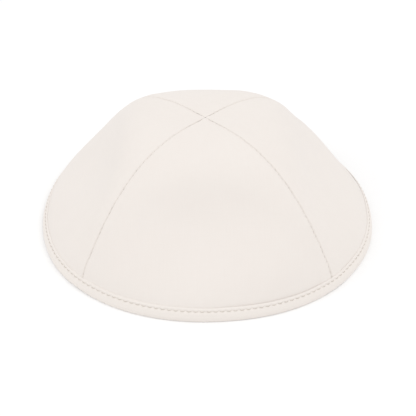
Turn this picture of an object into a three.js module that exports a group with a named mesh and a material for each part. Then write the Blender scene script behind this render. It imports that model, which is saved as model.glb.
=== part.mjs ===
// A four-panel cloth skullcap standing on its rim.
// Four cut panels are sewn edge to edge, their seam allowances pressed open inside, and a folded
// band binds the lower edge. Millimetres, +Z up, the front panel towards -Y, the origin on the
// surface under the crown's middle.
import * as THREE from "three";
import { mergeVertices } from "three/addons/utils/BufferGeometryUtils.js";

// Driving dimensions of the crown's outer surface.
const rimRadius = 85; // axis to the outside of a seam, at the rim
const crownHeight = 58.3; // surface to the top of the cloth
const shoulderPower = 2.95; // how squarely a seam turns from the top into the side
const rimFlatness = 0.98; // middle of a panel over its seam's radius, at the rim
// A panel's middle falls inside the round of its seams by panelFlatness at most, high up the side:
// flatRise holds the flatness back above the rim, and flatFall ends it below the crown's middle.
const panelFlatness = 0.174;
const flatRise = 2.7;
const flatFall = 1.6;

// The cloth.
const cloth = 1.2;
const allowanceCloth = 0.9; // the turned-in edges, on top of the cloth
const allowanceWidth = 7;
const allowanceBevel = 0.6;
const allowanceStop = 1.2; // how far above the band the allowances end
const seamGap = 0.3; // left between neighbouring panels

// The band: a strip folded over the rim, with the panels' edge held in its fold.
const bandHeight = 5.6;
const bandCloth = 1;
const bandLip = 0.4; // rounding of the two upper edges
const foldFloor = 1.2; // cloth under the panels' edge
const slipOut = 0.5; // room between the panels and the band's outer leg
const slipIn = 0.4; // room between the panels and its inner leg
const edgeLift = 0.9; // outer side of the panels' lower edge over the fold's floor

// How finely the surfaces are divided.
const sideRows = 15; // from the crown's middle to the foot of the allowances
const panelColumns = 12; // between a panel's two allowances
const bandSegments = 96;

const quarter = Math.PI / 2;
const up = new THREE.Vector3(0, 0, 1);
const peakRise = flatRise / (flatRise + flatFall);
const flatPeak = peakRise ** flatRise * (1 - peakRise) ** flatFall;

// Radius of the outer surface. angle is measured from the middle of the nearest panel, and reach
// runs from 0 at the crown's middle to 1 at the rim. Each level is a rounded square whose corners
// are the seams.
function surfaceRadius(angle, reach) {
  const rise = 1 - reach ** shoulderPower;
  const flatness = rise ** flatRise * (1 - rise) ** flatFall / flatPeak;
  const panelOverSeam = rimFlatness * (1 - panelFlatness * flatness);
  const squareness = 1 / (0.5 + Math.log2(panelOverSeam));
  const across = Math.abs(Math.cos(angle)) ** squareness + Math.abs(Math.sin(angle)) ** squareness;
  return rimRadius * reach * panelOverSeam * across ** (-1 / squareness);
}

function heightAt(reach) {
  return crownHeight * (1 - reach ** shoulderPower);
}

function reachAt(height) {
  return (1 - height / crownHeight) ** (1 / shoulderPower);
}

// A point of the outer surface, with +X as the middle of the panel.
function surfacePoint(angle, reach) {
  const radius = surfaceRadius(angle, reach);
  return new THREE.Vector3(radius * Math.cos(angle), radius * Math.sin(angle), heightAt(reach));
}

// The outward direction there, from two short steps along the surface.
function surfaceNormal(angle, reach) {
  if (reach === 0) return up.clone();
  const step = 1e-4;
  const along = surfacePoint(angle + step, reach).sub(surfacePoint(angle - step, reach));
  const down = surfacePoint(angle, reach + step).sub(surfacePoint(angle, reach - step));
  return down.cross(along).normalize();
}

// The angles of one row of a panel: its two edges, the inner edge and the foot of the bevel of
// each allowance, and even steps between them. Near the crown's middle the allowances close up.
function rowAngles(reach) {
  const seamRadius = Math.max(surfaceRadius(quarter / 2, reach), 1e-6);
  const allowance = Math.min(allowanceWidth / seamRadius, quarter * 0.3);
  const foot = Math.min((allowanceWidth + allowanceBevel) / seamRadius, quarter * 0.33);
  const inner = quarter / 2 - foot;
  const angles = [-quarter / 2, allowance - quarter / 2];
  for (let i = 0; i <= panelColumns; i++) angles.push(inner * ((2 * i) / panelColumns - 1));
  angles.push(quarter / 2 - allowance, quarter / 2);
  return angles;
}

// A closed sheet from two grids of points, the outer one seen from outside with its columns
// running anticlockwise from above and its rows running down.
function sheetGeometry(outer, inner) {
  const rows = outer.length;
  const columns = outer[0].length;
  const points = [...outer.flat(), ...inner.flat()];
  const faces = [];
  const out = (row, column) => row * columns + column;
  const back = (row, column) => rows * columns + out(row, column);
  const quad = (a, b, c, d) => faces.push([a, b, c], [a, c, d]);
  for (let i = 0; i + 1 < rows; i++) {
    for (let j = 0; j + 1 < columns; j++) {
      quad(out(i, j), out(i + 1, j), out(i + 1, j + 1), out(i, j + 1));
      quad(back(i, j), back(i, j + 1), back(i + 1, j + 1), back(i + 1, j));
    }
    quad(out(i, 0), back(i, 0), back(i + 1, 0), out(i + 1, 0));
    const last = columns - 1;
    quad(out(i, last), out(i + 1, last), back(i + 1, last), back(i, last));
  }
  for (let j = 0; j + 1 < columns; j++) {
    quad(out(rows - 1, j), back(rows - 1, j), back(rows - 1, j + 1), out(rows - 1, j + 1));
  }
  return closedGeometry(points, faces);
}

// Points that coincide become one, and faces that they flatten are left out.
function closedGeometry(points, faces) {
  const loose = new THREE.BufferGeometry().setFromPoints(points);
  loose.setIndex(faces.flat());
  const merged = mergeVertices(loose, 1e-3);
  const index = merged.getIndex().array;
  const kept = [];
  for (let i = 0; i < index.length; i += 3) {
    const [a, b, c] = index.slice(i, i + 3);
    if (a !== b && b !== c && c !== a) kept.push(a, b, c);
  }
  merged.setIndex(kept);
  merged.computeVertexNormals();
  return merged;
}

// One panel with its middle on +X: a wall of one cloth, doubled along the seams down to the band.
function panelGeometry() {
  const allowanceFoot = reachAt(bandHeight + allowanceStop + allowanceBevel);
  const rows = [];
  for (let i = 0; i <= sideRows; i++) rows.push(allowanceFoot * (i / sideRows) ** 0.8);
  const doubledRows = rows.length;
  rows.push(reachAt(bandHeight + allowanceStop));
  rows.push(reachAt(foldFloor + edgeLift));
  const outer = [];
  const inner = [];
  const apart = new THREE.Vector3(seamGap / Math.SQRT2, 0, 0);
  rows.forEach((reach, row) => {
    const angles = rowAngles(reach);
    const isDoubled = (column) => row < doubledRows && (column < 2 || column > angles.length - 3);
    const thickness = (column) => cloth + (isDoubled(column) ? allowanceCloth : 0);
    outer.push(angles.map((angle) => surfacePoint(angle, reach).add(apart)));
    inner.push(angles.map((angle, column) => surfacePoint(angle, reach)
      .addScaledVector(surfaceNormal(angle, reach), -thickness(row === 0 ? 0 : column))
      .add(apart)));
  });
  return sheetGeometry(outer, inner);
}

// The band's section, as heights and distances out from the crown's outer surface, turned round
// the rim at every angle.
function bandGeometry() {
  const slope = Math.atan2(crownHeight * shoulderPower, rimRadius);
  const lean = 1 / Math.sin(slope); // level distance through a wall of unit thickness
  const outside = slipOut + bandCloth * lean;
  const slotBack = -cloth * lean - slipIn;
  const inside = slotBack - bandCloth * lean;
  const section = [
    { height: 0, out: inside },
    { height: 0, out: outside },
    { height: bandHeight - bandLip, out: outside },
    { height: bandHeight, out: outside - bandLip },
    { height: bandHeight, out: slipOut },
    { height: foldFloor, out: slipOut },
    { height: foldFloor, out: slotBack },
    { height: bandHeight, out: slotBack },
    { height: bandHeight, out: inside + bandLip },
    { height: bandHeight - bandLip, out: inside },
  ];
  const points = [];
  const faces = [];
  for (let i = 0; i < bandSegments; i++) {
    const turn = (i / bandSegments) * 4 * quarter;
    for (const { height, out } of section) {
      const radius = surfaceRadius(turn, reachAt(height)) + out;
      points.push(new THREE.Vector3(radius * Math.cos(turn), radius * Math.sin(turn), height));
    }
    const next = (i + 1) % bandSegments;
    for (let j = 0; j < section.length; j++) {
      const k = (j + 1) % section.length;
      const a = i * section.length + j;
      const b = next * section.length + j;
      const c = next * section.length + k;
      const d = i * section.length + k;
      faces.push([a, b, c], [a, c, d]);
    }
  }
  return closedGeometry(points, faces);
}

function clothMaterial(color) {
  return new THREE.MeshStandardMaterial({ color, roughness: 0.9, metalness: 0 });
}

const group = new THREE.Group();

const panelCloth = clothMaterial(0xefe8dd);
const panelTurns = { front_panel: 3, right_panel: 0, back_panel: 1, left_panel: 2 };
for (const [name, turn] of Object.entries(panelTurns)) {
  const panel = new THREE.Mesh(panelGeometry(), panelCloth);
  panel.name = name;
  panel.rotation.z = turn * quarter;
  group.add(panel);
}

const band = new THREE.Mesh(bandGeometry(), clothMaterial(0xf3ede3));
band.name = "rim_band";
group.add(band);

export default group;
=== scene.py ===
"""A four-panel cotton skullcap, standing on its rim.

Built in the order it is sewn: four crown panels with their seam allowances turned in, the thread
of the seams, the strip that binds the rim, and the top stitching that holds the strip."""

import math

import bpy
import numpy as np
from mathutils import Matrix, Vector


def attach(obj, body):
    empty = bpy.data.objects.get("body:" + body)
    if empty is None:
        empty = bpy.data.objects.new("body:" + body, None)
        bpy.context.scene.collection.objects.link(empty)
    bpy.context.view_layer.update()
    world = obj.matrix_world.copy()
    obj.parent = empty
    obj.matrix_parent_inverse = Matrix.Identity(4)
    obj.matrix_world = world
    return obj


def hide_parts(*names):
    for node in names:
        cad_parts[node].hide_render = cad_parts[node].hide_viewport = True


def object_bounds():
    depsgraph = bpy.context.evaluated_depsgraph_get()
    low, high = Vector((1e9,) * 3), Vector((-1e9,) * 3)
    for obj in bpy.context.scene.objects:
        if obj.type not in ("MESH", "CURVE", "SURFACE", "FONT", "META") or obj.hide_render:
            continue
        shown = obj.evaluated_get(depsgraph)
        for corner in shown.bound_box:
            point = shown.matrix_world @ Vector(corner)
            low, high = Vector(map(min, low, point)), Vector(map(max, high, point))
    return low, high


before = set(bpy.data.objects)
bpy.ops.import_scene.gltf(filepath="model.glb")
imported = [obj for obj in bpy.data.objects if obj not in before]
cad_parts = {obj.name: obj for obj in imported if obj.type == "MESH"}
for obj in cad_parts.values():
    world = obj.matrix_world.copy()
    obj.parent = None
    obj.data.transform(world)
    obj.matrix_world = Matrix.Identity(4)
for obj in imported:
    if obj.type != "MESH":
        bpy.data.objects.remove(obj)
cad_low, cad_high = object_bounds()
MM = 0.001

# The camera looks down at the front panel, from a little over a third of a right angle up. It aims
# below the cap's middle, which leaves more room above the crown than under the rim.
CAMERA_ELEVATION = math.radians(35.93)
CAMERA_LENS = 103.2  # mm, on a 36 mm sensor
half_width = (cad_high.x - cad_low.x) / 2
camera_back = Vector((0, -math.cos(CAMERA_ELEVATION), math.sin(CAMERA_ELEVATION)))
camera_up = Vector((0, math.sin(CAMERA_ELEVATION), math.cos(CAMERA_ELEVATION)))
aim = Vector((0.0036, 0, 0.35)) - 0.246 * camera_up
camera = bpy.data.objects.new("camera", bpy.data.cameras.new("camera"))
camera.data.lens = CAMERA_LENS
camera.data.sensor_width = 36
camera.data.clip_start = 0.01
camera.rotation_mode = "QUATERNION"
camera.location = (aim + 6.95 * camera_back) * half_width
camera.rotation_quaternion = (-camera_back).to_track_quat("-Z", "Y")
bpy.context.collection.objects.link(camera)
bpy.context.scene.camera = camera

# Plain studio: a white floor, an even white surround, and two broad lamps, the stronger one high on
# the right, so that the panels differ a little in tone.
FLOOR_SIZE = 6.0
floor_mesh = bpy.data.meshes.new("floor")
floor_mesh.from_pydata(
    [(x * FLOOR_SIZE / 2, y * FLOOR_SIZE / 2, 0) for x, y in ((-1, -1), (1, -1), (1, 1), (-1, 1))],
    [],
    [(0, 1, 2, 3)],
)
floor = bpy.data.objects.new("floor", floor_mesh)
floor.location.z = cad_low.z
bpy.context.collection.objects.link(floor)
floor_paint = bpy.data.materials.new("floor_paint")
floor_paint.use_nodes = True
floor_paint.node_tree.nodes["Principled BSDF"].inputs["Base Color"].default_value = (0.94, 0.94, 0.94, 1)
floor_paint.node_tree.nodes["Principled BSDF"].inputs["Roughness"].default_value = 0.9
floor_mesh.materials.append(floor_paint)

surround = bpy.data.worlds.new("surround")
surround.use_nodes = True
surround.node_tree.nodes["Background"].inputs["Color"].default_value = (1, 1, 1, 1)
surround.node_tree.nodes["Background"].inputs["Strength"].default_value = 0.87
bpy.context.scene.world = surround
bpy.context.scene.view_settings.view_transform = "Standard"

LAMPS = (  # name, place in metres, size in metres, watts
    ("key_lamp", (0.80, -0.12, 1.45), 0.9, 5.6),
    ("fill_lamp", (-1.15, -0.40, 0.85), 1.2, 3.4),
)
for name, place, size, watts in LAMPS:
    lamp = bpy.data.objects.new(name, bpy.data.lights.new(name, "AREA"))
    lamp.data.size = size
    lamp.data.energy = watts
    lamp.location = place
    lamp.rotation_mode = "QUATERNION"
    lamp.rotation_quaternion = (-Vector(place)).to_track_quat("-Z", "Y")
    bpy.context.collection.objects.link(lamp)

# The crown: four panels of off-white cotton, cut to a curve and sewn edge to edge. Each edge turns in
# at the seam and lies open inside as an allowance, which shows outside as a slightly raised strip.
RIM_FLATNESS = 0.98  # middle of a panel over its seam's radius, at the rim
PANEL_FLATNESS = 0.174  # how far a panel's middle falls inside the round of its seams, at most
FLAT_RISE, FLAT_FALL = 2.7, 1.6  # where up the side that flatness comes and goes
SHOULDER_POWER = 2.95  # how squarely a seam turns from the top into the side
CROSSING_OFF = (-1.0 * MM, -0.9 * MM)  # the seams cross a little off the crown's middle
WALL_SWELL = 1.0 * MM  # how far the wall stands out above the rim
SWELL_HEIGHT = 9.0 * MM
BAND_LEDGE = 1.6 * MM  # how far the frame's band stands out from the crown
PLY = 0.5 * MM  # one thickness of the cloth
FOLD_RADIUS = 0.46 * MM  # of the cloth's middle, where it turns in
SEAM_GAP = 0.06 * MM  # between the folds of neighbouring panels
ALLOWANCE = 7.0 * MM
LOWER_EDGE = 1.6 * MM  # height of the panels' edge, inside the band
QUARTER = math.pi / 2

crown_height = cad_high.z
peak_rise = FLAT_RISE / (FLAT_RISE + FLAT_FALL)
flat_peak = peak_rise**FLAT_RISE * (1 - peak_rise) ** FLAT_FALL
rim_radius = (cad_high.x - BAND_LEDGE) / RIM_FLATNESS


def crown_radius(angle, reach):
    """Radius of the smooth crown; reach runs from 0 at its middle to 1 at the rim."""
    rise = 1 - reach**SHOULDER_POWER
    flatness = rise**FLAT_RISE * (1 - rise) ** FLAT_FALL / flat_peak
    panel_over_seam = RIM_FLATNESS * (1 - PANEL_FLATNESS * flatness)
    squareness = 1 / (0.5 + np.log2(panel_over_seam))
    across = np.abs(np.cos(angle)) ** squareness + np.abs(np.sin(angle)) ** squareness
    up_the_wall = crown_height * rise / SWELL_HEIGHT
    swell = WALL_SWELL * (up_the_wall * np.exp(1 - up_the_wall)) ** 2
    return rim_radius * reach * panel_over_seam * across ** (-1 / squareness) + swell


def crown_point(angle, reach):
    radius = crown_radius(angle, reach)
    height = crown_height * (1 - reach**SHOULDER_POWER) + 0 * radius
    lean = (1 - reach**2) ** 2
    x = radius * np.cos(angle) + CROSSING_OFF[0] * lean
    y = radius * np.sin(angle) + CROSSING_OFF[1] * lean
    return np.stack([x, y, height], -1)


def crown_normal(angle, reach):
    step = 1e-4
    along = crown_point(angle + step, reach) - crown_point(angle - step, reach)
    down = crown_point(angle, reach + step) - crown_point(angle, reach - step)
    normal = np.cross(down, along)
    return normal / np.linalg.norm(normal, axis=-1, keepdims=True)


def reach_at(height):
    return (1 - height / crown_height) ** (1 / SHOULDER_POWER)


SOFT_FORMS = (  # degrees round from +X, reach, degrees wide, reach long, depth in mm
    (-34, 0.78, 7, 0.17, -0.9),
    (-62, 0.84, 12, 0.10, 0.5),
    (-66, 0.95, 17, 0.04, -0.9),
    (-118, 0.70, 16, 0.16, 0.35),
    (200, 0.62, 14, 0.14, -0.5),
    (26, 0.87, 24, 0.08, -0.8),
    (30, 0.94, 17, 0.06, -1.9),
    (44, 0.72, 15, 0.10, -1.7),
    (58, 0.42, 13, 0.12, 0.8),
    (135, 0.50, 14, 0.15, 0.6),
    (75, 0.75, 16, 0.14, -0.6),
    (112, 0.68, 10, 0.15, 0.4),
)
SLACK_WAVES = (  # turns round the crown, waves down it, phase, height in mm
    (5, 1.3, 0.4, 0.10),
    (9, 2.1, 2.1, 0.07),
    (13, 3.2, 4.0, 0.05),
)


def soft_forms(angle, reach):
    """The shallow dents, swellings and slack of the cloth, as heights along the normal."""
    height = np.zeros(np.broadcast(angle, reach).shape)
    for middle, centre, width, length, depth in SOFT_FORMS:
        turn = np.degrees(np.angle(np.exp(1j * (angle - math.radians(middle)))))
        height += depth * MM * np.exp(-((turn / width) ** 2) - ((reach - centre) / length) ** 2)
    for turns, waves, phase, depth in SLACK_WAVES:
        wave = np.sin(turns * angle + phase) * np.sin(2 * math.pi * waves * reach + 2 * phase)
        height += depth * MM * wave * reach
    return height


ROWS = 150
BODY_COLUMNS = 26  # from a panel's middle to where its allowance begins to show
EDGE_COLUMNS = 13  # from there to the fold
FOLD_COLUMNS = 9
ALLOWANCE_COLUMNS = 8
STRIP = 9.5 * MM  # width beside a seam in which the cloth is shaped by it
RIDGE = 0.25 * MM  # how far the doubled cloth stands up
TUCK = 0.4 * MM  # how far the panels are drawn in under the band
TUCK_HEIGHT = 8.2 * MM
STITCH_PITCH = 2.6 * MM  # of the seams
TIP = 0.14 * MM  # half width of a panel's blunt tip
TIP_REGION = 3.0 * MM  # half width below which the cloth's section shrinks towards the tip
STRIP_SHARE, ALLOWANCE_SHARE = 0.5, 0.78  # the most of a half width that each takes up
RIDGE_AT, RIDGE_SOFTNESS = 6.6 * MM, 0.6 * MM  # from the seam to where the doubled cloth ends
PUCKER, PUCKER_REACH = 0.07 * MM, 1.3 * MM  # at each stitch
PULL, PULL_REACH, PULL_LENGTH = 0.09 * MM, 4.0 * MM, 11.0 * MM  # slower waves of a drawn seam
TUCK_SOFTNESS = 1.3 * MM
RELIEF_FULL = 12.0 * MM  # half width from which the seams' relief is whole


def meridian(angle):
    """Reach as a function of distance down the crown at one angle, as two arrays."""
    reach = np.linspace(1e-4, 1, 2000)
    points = crown_point(np.full_like(reach, angle), reach)
    steps = np.linalg.norm(np.diff(points, axis=0), axis=1)
    return np.concatenate([[0], np.cumsum(steps)]), reach


def half_section(half):
    """One half of a panel's section, from its middle round the fold to the allowance's free edge.
    Gives each point's distance from the seam, its depth under the surface, the way out of the
    cloth (towards the seam, and outwards), and the panel's own scale near its tip."""
    small = min(1.0, half / TIP_REGION)
    ply, fold = PLY * small, FOLD_RADIUS * small
    strip = min(STRIP, STRIP_SHARE * half)
    allowance = min(ALLOWANCE, ALLOWANCE_SHARE * half)
    centre = fold + ply / 2 + SEAM_GAP / 2
    body = np.linspace(half, strip, BODY_COLUMNS, endpoint=False)
    edge = centre + (strip - centre) * np.linspace(1, 0, EDGE_COLUMNS, endpoint=False) ** 1.6
    turn = np.linspace(QUARTER, -QUARTER, FOLD_COLUMNS)
    back = np.linspace(centre, max(allowance, centre * 1.2), ALLOWANCE_COLUMNS + 1)[1:]
    distance = np.concatenate([body, edge, centre - fold * np.cos(turn), back])
    flat = np.full(len(body) + len(edge), ply / 2)
    depth = np.concatenate([
        flat, ply / 2 + fold * (1 - np.sin(turn)), np.full(len(back), ply / 2 + 2 * fold)])
    towards = np.concatenate([0 * flat, np.cos(turn), 0 * back])
    outwards = np.concatenate([0 * flat + 1, np.sin(turn), 0 * back - 1])
    return distance, depth, towards, outwards, ply


def grid_faces(rows, columns, start=0, flip=False):
    corner = start + np.arange(rows - 1)[:, None] * columns + np.arange(columns - 1)[None, :]
    faces = np.stack([corner, corner + columns, corner + columns + 1, corner + 1], -1).reshape(-1, 4)
    return faces[:, ::-1] if flip else faces


def cloth_mesh(name, points, faces, flat_places, material):
    """A smooth-shaded mesh whose UV map holds each point's place on the flat cloth, in metres."""
    mesh = bpy.data.meshes.new(name)
    mesh.from_pydata(points.tolist(), [], faces.tolist())
    mesh.validate()
    layer = mesh.uv_layers.new(name="cloth")
    corner_points = np.empty(len(mesh.loops), int)
    mesh.loops.foreach_get("vertex_index", corner_points)
    layer.data.foreach_set("uv", flat_places[corner_points].ravel().astype(np.float32))
    mesh.shade_smooth()
    mesh.materials.append(material)
    piece = bpy.data.objects.new(name, mesh)
    bpy.context.collection.objects.link(piece)
    return piece


def seam_relief(distance, along):
    """How the seam shapes the cloth beside it: the doubled strip, its edge, and small puckers."""
    ridge = RIDGE / (1 + np.exp((distance - RIDGE_AT) / RIDGE_SOFTNESS))
    pucker = PUCKER * np.exp(-distance / PUCKER_REACH) * np.cos(2 * math.pi * along / STITCH_PITCH)
    pull = PULL * np.exp(-distance / PULL_REACH) * np.sin(2 * math.pi * along / PULL_LENGTH + 1)
    return ridge + pucker + pull


def tucked(reach):
    """How far the cloth is drawn in, near the rim."""
    height = crown_height * (1 - reach**SHOULDER_POWER)
    return TUCK / (1 + np.exp((height - TUCK_HEIGHT) / TUCK_SOFTNESS))


def panel_points(turn):
    """The two faces of one panel's cloth as grids of points, and its flat places."""
    down, reach_down = meridian(QUARTER / 2)
    tip_reach = TIP / (rim_radius * QUARTER / 2)
    first = np.interp(tip_reach, reach_down, down)
    last = np.interp(reach_at(LOWER_EDGE), reach_down, down)
    fine = np.linspace(-QUARTER / 2, QUARTER / 2, 181)
    outer, inner, flat_places = [], [], []
    for along in np.linspace(first, last, ROWS):
        reach = np.interp(along, down, reach_down)
        arc = crown_point(fine, np.full_like(fine, reach))
        lengths = np.concatenate([[0], np.cumsum(np.linalg.norm(np.diff(arc, axis=0), axis=1))])
        half = lengths[-1] / 2
        distance, depth, towards, outwards, ply = half_section(half)
        sides = []
        for side in (-1, 1):
            place = side * (half - distance)
            nearby = np.interp(place + half, lengths, fine)
            angle = nearby + turn
            normal = crown_normal(angle, np.full_like(angle, reach))
            seamward = side * np.stack([-np.sin(angle), np.cos(angle), 0 * angle], -1)
            seamward -= normal * np.sum(seamward * normal, -1, keepdims=True)
            seamward /= np.linalg.norm(seamward, axis=-1, keepdims=True)
            relief = seam_relief(distance, along) * min(1, half / RELIEF_FULL)
            relief = soft_forms(angle, reach) + relief - tucked(reach)
            middle = crown_point(angle, np.full_like(angle, reach))
            middle = middle + normal * (relief - depth)[:, None]
            out = seamward * towards[:, None] + normal * outwards[:, None]
            # Past the fold the cloth's flat place runs on beyond the seam.
            turned = np.where(outwards < 0, half + distance, half - distance)
            sides.append((middle + out * ply / 2, middle - out * ply / 2, side * turned))
        left, right = sides
        outer.append(np.concatenate([left[0][:0:-1], right[0]]))
        inner.append(np.concatenate([left[1][:0:-1], right[1]]))
        across = np.concatenate([left[2][:0:-1], right[2]])
        flat_places.append(np.stack([across, np.full_like(across, along)], -1))
    return np.array(outer), np.array(inner), np.array(flat_places)


def sheet_faces(rows, columns):
    """Faces of a closed sheet: its outer grid of points, then its inner one, then the rim."""
    count = rows * columns
    rim = np.concatenate([
        np.arange(columns),
        np.arange(1, rows) * columns + columns - 1,
        (rows - 1) * columns + np.arange(columns - 2, -1, -1),
        np.arange(rows - 2, 0, -1) * columns,
    ])
    after = np.roll(rim, -1)
    edge = np.stack([rim, after, after + count, rim + count], -1)
    return np.concatenate([
        grid_faces(rows, columns), grid_faces(rows, columns, count, flip=True), edge])


class Wire:
    """One output of a material's nodes. Arithmetic on it adds Math nodes, and node() any other."""

    def __init__(self, tree, output=None):
        self.tree = tree
        self.output = output

    def node(self, kind, settings=None, inputs=None, output=0):
        made = self.tree.nodes.new(kind)
        for setting, value in (settings or {}).items():
            setattr(made, setting, value)
        for socket, value in (inputs or {}).items():
            if isinstance(value, Wire):
                self.tree.links.new(value.output, made.inputs[socket])
            else:
                made.inputs[socket].default_value = value
        return Wire(self.tree, made.outputs[output])

    def math(self, operation, *values):
        return self.node("ShaderNodeMath", {"operation": operation}, dict(enumerate(values)))

    def __add__(self, other):
        return self.math("ADD", self, other)

    __radd__ = __add__

    def __mul__(self, other):
        return self.math("MULTIPLY", self, other)

    __rmul__ = __mul__

    def __sub__(self, other):
        return self.math("SUBTRACT", self, other)

    def __rsub__(self, other):
        return self.math("SUBTRACT", other, self)

    def __abs__(self):
        return self.math("ABSOLUTE", self)


def woven_cotton(name, color, deeper, thread, bias=0.0):
    """Plain-woven cotton: crossing threads of one width, thicker slubs here and there, and a slight
    unevenness of tone. Bias turns the threads, in radians, against the cloth's own length."""
    material = bpy.data.materials.new(name)
    material.use_nodes = True
    tree = material.node_tree
    start = Wire(tree)
    place = start.node("ShaderNodeUVMap", {"uv_map": "cloth"})
    place = start.node("ShaderNodeMapping", {}, {"Vector": place, "Rotation": (0, 0, bias)})
    cross = start.node("ShaderNodeSeparateXYZ", {}, {"Vector": place}, "X")
    length = start.node("ShaderNodeSeparateXYZ", {}, {"Vector": place}, "Y")

    warp = start.math("SINE", cross * (math.pi / thread))
    weft = start.math("SINE", length * (math.pi / thread))
    warp_on_top = start.node(
        "ShaderNodeMapRange",
        {"interpolation_type": "SMOOTHSTEP"},
        {"Value": warp * weft, "From Min": -0.25, "From Max": 0.25},
    )
    weave = abs(warp) * warp_on_top + abs(weft) * (1 - warp_on_top)

    def slubs(stretch_across, stretch_along, seed):
        stretched = start.node(
            "ShaderNodeMapping", {}, {"Vector": place, "Scale": (stretch_across, stretch_along, 1)})
        return start.node(
            "ShaderNodeTexNoise",
            {"noise_dimensions": "4D"},
            {"Vector": stretched, "W": seed, "Scale": 1.0, "Detail": 2.0, "Roughness": 0.6},
            "Fac",
        )

    warp_slubs = slubs(1 / (0.7 * MM), 1 / (14 * MM), 2.0)
    weft_slubs = slubs(1 / (12 * MM), 1 / (0.8 * MM), 7.0)
    cloud = slubs(1 / (32 * MM), 1 / (26 * MM), 11.0)
    tone = warp_slubs * 0.45 + weft_slubs * 0.25 + cloud * 0.5 - 0.1
    tone = start.node("ShaderNodeClamp", {}, {"Value": tone})
    colour = start.node(
        "ShaderNodeMix",
        {"data_type": "RGBA"},
        {"Factor": tone, "A": (*deeper, 1), "B": (*color, 1)},
        "Result",
    )
    relief = weave * 0.35 + warp_slubs * 0.5 + weft_slubs * 0.35
    bump = start.node("ShaderNodeBump", {}, {"Height": relief, "Strength": 0.35, "Distance": 0.12 * MM})

    shader = tree.nodes["Principled BSDF"]
    tree.links.new(colour.output, shader.inputs["Base Color"])
    tree.links.new(bump.output, shader.inputs["Normal"])
    shader.inputs["Roughness"].default_value = 0.88
    shader.inputs["Specular IOR Level"].default_value = 0.25
    shader.inputs["Sheen Weight"].default_value = 0.2
    shader.inputs["Sheen Roughness"].default_value = 0.5
    return material


panel_cotton = woven_cotton("panel_cotton", (0.835, 0.785, 0.745), (0.795, 0.74, 0.695), 0.34 * MM)
PANELS = (("front_panel", 3), ("right_panel", 0), ("back_panel", 1), ("left_panel", 2))
for node, turn in PANELS:
    outer, inner, flat_places = panel_points(turn * QUARTER)
    rows, columns = outer.shape[:2]
    panel = cloth_mesh(
        node + "_cloth",
        np.concatenate([outer.reshape(-1, 3), inner.reshape(-1, 3)]),
        sheet_faces(rows, columns),
        np.tile(flat_places.reshape(-1, 2), (2, 1)),
        panel_cotton,
    )
    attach(panel, "root")
    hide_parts(node)

# The seams: cotton thread, drawn tight between the folds of two panels. It is seen only as a row of
# short bars down in the valley of each seam.
SEAM_THREAD_RADIUS = 0.26 * MM
SEAM_THREAD_DEPTH = 0.22 * MM
SEAM_STITCH_SHOWN = 0.97
STITCH_POINTS = 7
THREAD_SIDES = 6


def stitch_tube(path, normals, radius):
    """A short closed tube along a path, a little thinner at its ends."""
    ahead = np.gradient(path, axis=0)
    ahead /= np.linalg.norm(ahead, axis=1, keepdims=True)
    side = np.cross(ahead, normals)
    rings = []
    for i, (point, across, out) in enumerate(zip(path, side, normals)):
        swell = 0.75 + 0.25 * math.sin(math.pi * i / (len(path) - 1))
        for k in range(THREAD_SIDES):
            spin = 4 * QUARTER * k / THREAD_SIDES
            rings.append(point + radius * swell * (math.cos(spin) * across + math.sin(spin) * out))
    faces = []
    for i in range(len(path) - 1):
        for k in range(THREAD_SIDES):
            a, b = i * THREAD_SIDES + k, i * THREAD_SIDES + (k + 1) % THREAD_SIDES
            faces.append((a, a + THREAD_SIDES, b + THREAD_SIDES, b))
    last = (len(path) - 1) * THREAD_SIDES
    faces.append(tuple(range(THREAD_SIDES)))
    faces.append(tuple(range(last + THREAD_SIDES - 1, last - 1, -1)))
    return rings, faces


def joined_tubes(name, tubes, material):
    points, faces = [], []
    for tube_points, tube_faces in tubes:
        start = len(points)
        points += [tuple(p) for p in tube_points]
        faces += [tuple(start + i for i in face) for face in tube_faces]
    mesh = bpy.data.meshes.new(name)
    mesh.from_pydata(points, [], faces)
    mesh.shade_smooth()
    mesh.materials.append(material)
    piece = bpy.data.objects.new(name, mesh)
    bpy.context.collection.objects.link(piece)
    return piece


def seam_stitch(seam_angle, start, down, reach_down):
    along = start + np.linspace(0, 1, STITCH_POINTS) * STITCH_PITCH * SEAM_STITCH_SHOWN
    reach = np.interp(along, down, reach_down)
    angle = np.full_like(reach, seam_angle)
    normals = crown_normal(angle, reach)
    rise = soft_forms(angle, reach) + seam_relief(0, along) - tucked(reach)
    sunk = SEAM_THREAD_DEPTH + 0.12 * MM * np.abs(np.linspace(-1, 1, STITCH_POINTS)) ** 3
    return stitch_tube(
        crown_point(angle, reach) + normals * (rise - sunk)[:, None], normals, SEAM_THREAD_RADIUS)


def seam_stitches():
    tubes = []
    for turn in range(4):
        seam_angle = (turn + 0.5) * QUARTER
        down, reach_down = meridian(seam_angle)
        last = np.interp(reach_at(LOWER_EDGE + 2 * MM), reach_down, down)
        for start in np.arange(STITCH_PITCH, last - STITCH_PITCH, STITCH_PITCH):
            tubes.append(seam_stitch(seam_angle, start, down, reach_down))
    return tubes


def sewing_thread(name, deeper, color):
    """Twisted cotton, with a fine unevenness of tone along it."""
    material = bpy.data.materials.new(name)
    material.use_nodes = True
    tree = material.node_tree
    start = Wire(tree)
    position = start.node("ShaderNodeTexCoord", {}, {}, "Object")
    strand = start.node(
        "ShaderNodeTexNoise", {}, {"Vector": position, "Scale": 3500.0, "Detail": 1.0}, "Fac")
    tone = start.node(
        "ShaderNodeMix",
        {"data_type": "RGBA"},
        {"Factor": strand, "A": (*deeper, 1), "B": (*color, 1)},
        "Result",
    )
    shader = tree.nodes["Principled BSDF"]
    tree.links.new(tone.output, shader.inputs["Base Color"])
    shader.inputs["Roughness"].default_value = 0.7
    return material


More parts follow.
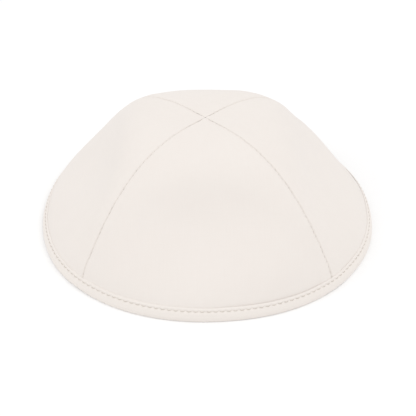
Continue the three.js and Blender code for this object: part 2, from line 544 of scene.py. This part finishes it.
seam_cotton = sewing_thread("seam_cotton", (0.78, 0.73, 0.68), (0.84, 0.79, 0.74))
seam_thread = joined_tubes("seam_stitches", seam_stitches(), seam_cotton)
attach(seam_thread, "root")

# The band: a strip of the same cotton cut on the bias, both long edges turned under, folded over the
# rim so that it grips the panels from outside and inside. The stitching draws it in along one line,
# and right of the front's middle its outer leg stands a little off the panel.
BAND_HEIGHT = 6.2 * MM
BAND_PLY = 0.7 * MM  # the strip with its turned edge under it
BAND_LIP = 0.18 * MM  # rounding of its pressed upper edge
BAND_GAPE = 0.35 * MM  # where the outer leg stands off the front panel
GAPE_MIDDLE, GAPE_WIDTH = 294, 20  # degrees round from +X
DRIFT_LENGTHS = (23 * MM, 37 * MM)  # slow unevenness of the folding
BAND_LINE = 1.55 * MM  # the stitching, under the band's upper edge
BAND_PITCH = 3.0 * MM
BAND_SEGMENTS = 1408
FOLD_HEIGHT = 1.9 * MM  # where the legs run into the fold
SLOT_FLOOR = 1.3 * MM  # the fold's inside
OUTER_POINTS, LIP_POINTS, SLOT_POINTS, INNER_POINTS = 20, 5, 4, 10  # along the section
band_lean = 1 / math.sin(math.atan2(crown_height * SHOULDER_POWER, rim_radius))


def rim_arc():
    """Distance round the rim at even angles, from +X."""
    angle = np.linspace(0, 4 * QUARTER, BAND_SEGMENTS + 1)
    points = crown_point(angle, np.full_like(angle, reach_at(BAND_HEIGHT)))
    return angle, np.concatenate([[0], np.cumsum(np.linalg.norm(np.diff(points, axis=0), axis=1))])


rim_angles, rim_lengths = rim_arc()
band_stitches_count = round(rim_lengths[-1] / BAND_PITCH)
band_pitch = rim_lengths[-1] / band_stitches_count


def seam_closeness(angle):
    """1 over a seam's allowances and 0 between them, round the rim."""
    off = np.abs((np.asarray(angle) + QUARTER / 2) % QUARTER - QUARTER / 2)
    off = (QUARTER / 2 - off) * rim_radius
    return 1 / (1 + np.exp((off - 7.5 * MM) / (0.8 * MM)))


def band_section(angle, along):
    """The band's closed section at one angle: heights, distances out from the crown, and how far
    along the strip's width each point lies."""
    over = seam_closeness(angle)
    stitch = np.cos(2 * math.pi * along / band_pitch)
    short_wave = np.sin(2 * math.pi * along / DRIFT_LENGTHS[0])
    long_wave = np.sin(2 * math.pi * along / DRIFT_LENGTHS[1] + 2)
    drift = short_wave * 0.5 + long_wave * 0.5
    top = BAND_HEIGHT + 0.10 * MM * drift + 0.04 * MM * stitch
    give = soft_forms(angle, reach_at(BAND_HEIGHT))  # the band goes with the panels
    gape = BAND_GAPE * math.exp(-(((math.degrees(angle) - GAPE_MIDDLE) / GAPE_WIDTH) ** 2))
    face_in = give + gape + 0.04 * MM + 0.10 * MM * over - TUCK * band_lean  # the outer leg's back
    face_out = face_in + BAND_PLY
    back_out = give - (PLY + TUCK + 0.1 * MM + (2 * FOLD_RADIUS + 0.05 * MM) * over) * band_lean
    back_in = back_out - BAND_PLY
    outer_line = top - BAND_LINE / band_lean
    inner_top = top - 0.5 * MM
    lip = BAND_LIP

    def drawn(height, line, depth):
        groove = np.exp(-(((height - line) / (0.55 * MM)) ** 2))
        return -depth * groove * (1 + 0.6 * stitch)

    rise = np.linspace(FOLD_HEIGHT, top - lip, OUTER_POINTS)
    to_the_top = np.clip((rise - outer_line) / (top - lip - outer_line), 0, 1)
    pressed = (BAND_PLY - 2 * lip) * (1 - np.sqrt(1 - to_the_top**2))
    belly = 0.12 * MM * np.sin(np.pi * np.clip(rise / outer_line, 0, 1)) * (1 + 0.4 * drift)
    outer_face = face_out + drawn(rise, outer_line, 0.36 * MM) + belly - pressed
    round_top = np.linspace(0, math.pi, LIP_POINTS + 2)[1:-1]
    middle = face_in + lip
    under = np.linspace(0, -math.pi, 11)
    under_middle, under_half = (face_out + back_in) / 2, (face_out - back_in) / 2
    inner_lip = BAND_PLY / 2
    inner_rise = np.linspace(FOLD_HEIGHT, inner_top - inner_lip, INNER_POINTS)
    inner_face = back_in - drawn(inner_rise, outer_line - 0.2 * MM, 0.2 * MM)

    points = [
        *zip(outer_face, rise),
        *zip(middle + lip * np.cos(round_top), top - lip + lip * np.sin(round_top)),
        (face_in, top - lip),
        (face_in, SLOT_FLOOR),
        (back_out, SLOT_FLOOR),
        (back_out, inner_top - inner_lip),
        *zip(
            (back_out + back_in) / 2 + inner_lip * np.cos(round_top),
            inner_top - inner_lip + inner_lip * np.sin(round_top),
        ),
        *zip(inner_face[::-1], inner_rise[::-1]),
        *zip(
            under_middle - under_half * np.cos(under[:0:-1] + math.pi),
            FOLD_HEIGHT * (1 - np.abs(np.sin(under[:0:-1])) ** 0.75),
        ),
    ]
    return np.array(points)


def band_grid():
    rings, places = [], []
    for angle, along in zip(rim_angles[:-1], rim_lengths[:-1]):
        section = band_section(angle, along)
        out, height = section[:, 0], np.maximum(section[:, 1], 0)
        radius = crown_radius(angle, reach_at(height)) + out
        rings.append(np.stack([radius * math.cos(angle), radius * math.sin(angle), height], -1))
        width = np.concatenate([[0], np.cumsum(np.linalg.norm(np.diff(section, axis=0), axis=1))])
        places.append(np.stack([np.full(len(width), along), width], -1))
    return np.array(rings), np.array(places)


band_cotton = woven_cotton(
    "band_cotton", (0.85, 0.80, 0.755), (0.81, 0.755, 0.71), 0.34 * MM, bias=QUARTER / 2)
rings, places = band_grid()
count, around = rings.shape[:2]
index = np.arange(count * around).reshape(count, around)
ahead, beside = np.roll(index, -1, axis=0), np.roll(index, -1, axis=1)
band_faces = np.stack([index, ahead, np.roll(ahead, -1, axis=1), beside], -1).reshape(-1, 4)
band = cloth_mesh("rim_band_cloth", rings.reshape(-1, 3), band_faces, places.reshape(-1, 2), band_cotton)
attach(band, "root")
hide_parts("rim_band")

# The top stitching: cotton thread through the band and the panels' edge. Each stitch shows as a
# short bar lying in the line that it draws in, outside and again inside.
BAND_THREAD_RADIUS = 0.17 * MM
STITCH_SHOWN = 0.74  # part of a stitch's length that lies on the cloth


def band_stitch(number, inside):
    middle = (number + 0.5) * band_pitch
    along = middle + np.linspace(-0.5, 0.5, STITCH_POINTS) * band_pitch * STITCH_SHOWN
    path, normals = [], []
    for i, place in enumerate(along):
        angle = np.interp(place % rim_lengths[-1], rim_lengths, rim_angles)
        section = band_section(angle, place)
        inner_start = OUTER_POINTS + LIP_POINTS + SLOT_POINTS + LIP_POINTS
        inner_face = section[inner_start:inner_start + INNER_POINTS][::-1]
        face = inner_face if inside else section[:OUTER_POINTS]
        height = BAND_HEIGHT - BAND_LINE / band_lean - (0.2 * MM if inside else 0)
        out = np.interp(height, face[:, 1], face[:, 0])
        sunk = 0.22 * MM * abs(2 * i / (STITCH_POINTS - 1) - 1) ** 3
        lift = (0.08 * MM - sunk) * (-1 if inside else 1)
        radius = crown_radius(angle, reach_at(height)) + out + lift
        path.append((radius * math.cos(angle), radius * math.sin(angle), height))
        normals.append((math.cos(angle), math.sin(angle), 0))
    return stitch_tube(np.array(path), np.array(normals), BAND_THREAD_RADIUS)


# The top stitching thread is coloured much darker than the band's cloth. This is painted shade for the
# stitches sunk in their groove and needle holes, not the thread's own colour.
top_stitching_painted_shade = sewing_thread("top_stitching_painted_shade", (0.55, 0.50, 0.44), (0.68, 0.62, 0.56))
for name, inside in (("band_stitches", False), ("band_stitches_inside", True)):
    stitches = joined_tubes(
        name, [band_stitch(i, inside) for i in range(band_stitches_count)], top_stitching_painted_shade)
    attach(stitches, "root")
